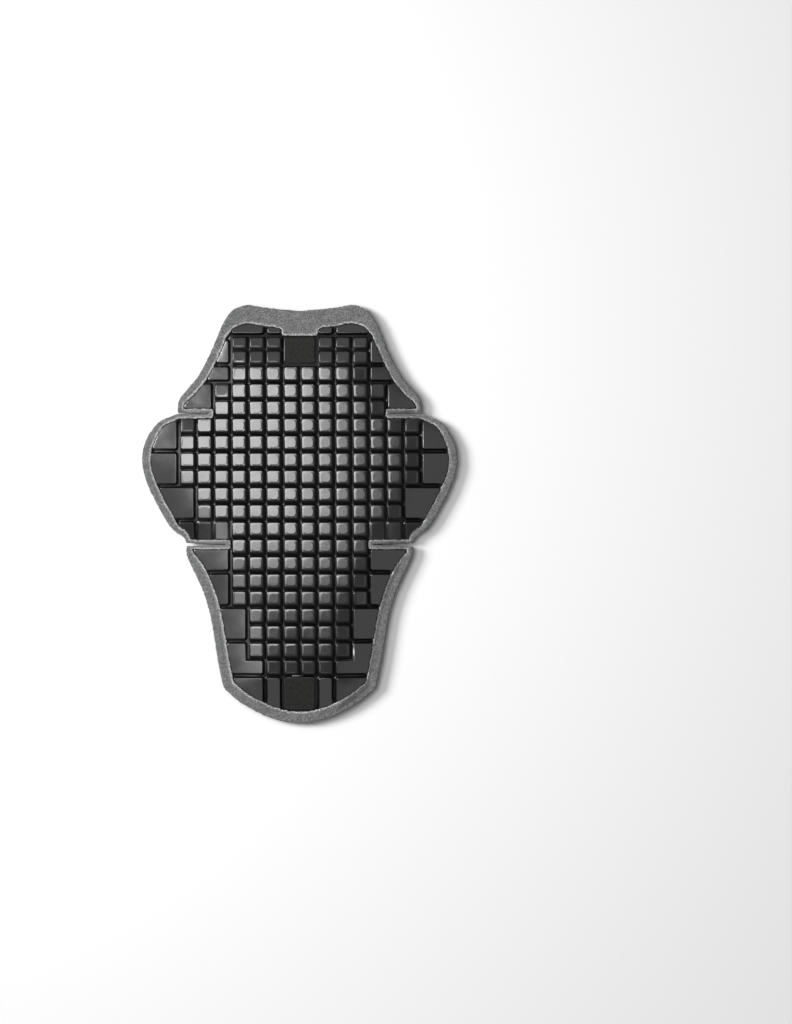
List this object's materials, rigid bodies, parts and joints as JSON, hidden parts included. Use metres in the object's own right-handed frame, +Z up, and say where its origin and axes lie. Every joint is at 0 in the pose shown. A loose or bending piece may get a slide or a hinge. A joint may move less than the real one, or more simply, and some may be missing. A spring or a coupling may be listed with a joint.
{
  "type": "back protector insert",
  "caption": "Flat foam back protector insert with two slit side wings, a moulded tile shell on its front and a studded rubber layer set in its back.",
  "frame": {"origin": "on the surface that the insert lies on, below the middle of its bounding box", "axes": "+Z up out of the tiled front, +Y up the back to the shoulders, +X to the right as the front is seen"},
  "size_m": [0.315, 0.417, 0.02],
  "materials": {
    "grey_foam": "matt closed-cell foam with a felt-like skin",
    "black_shell": "glossy moulded black skin",
    "stud_rubber": "smooth, fairly glossy dark rubber",
    "matte_patch": "matt, finely grained"
  },
  "bodies": {
    "root": {"foam_base": "grey_foam", "front_shell": "black_shell", "stud_layer": "stud_rubber", "head_patch": "matte_patch", "foot_patch": "matte_patch"}
  },
  "joints": []
}
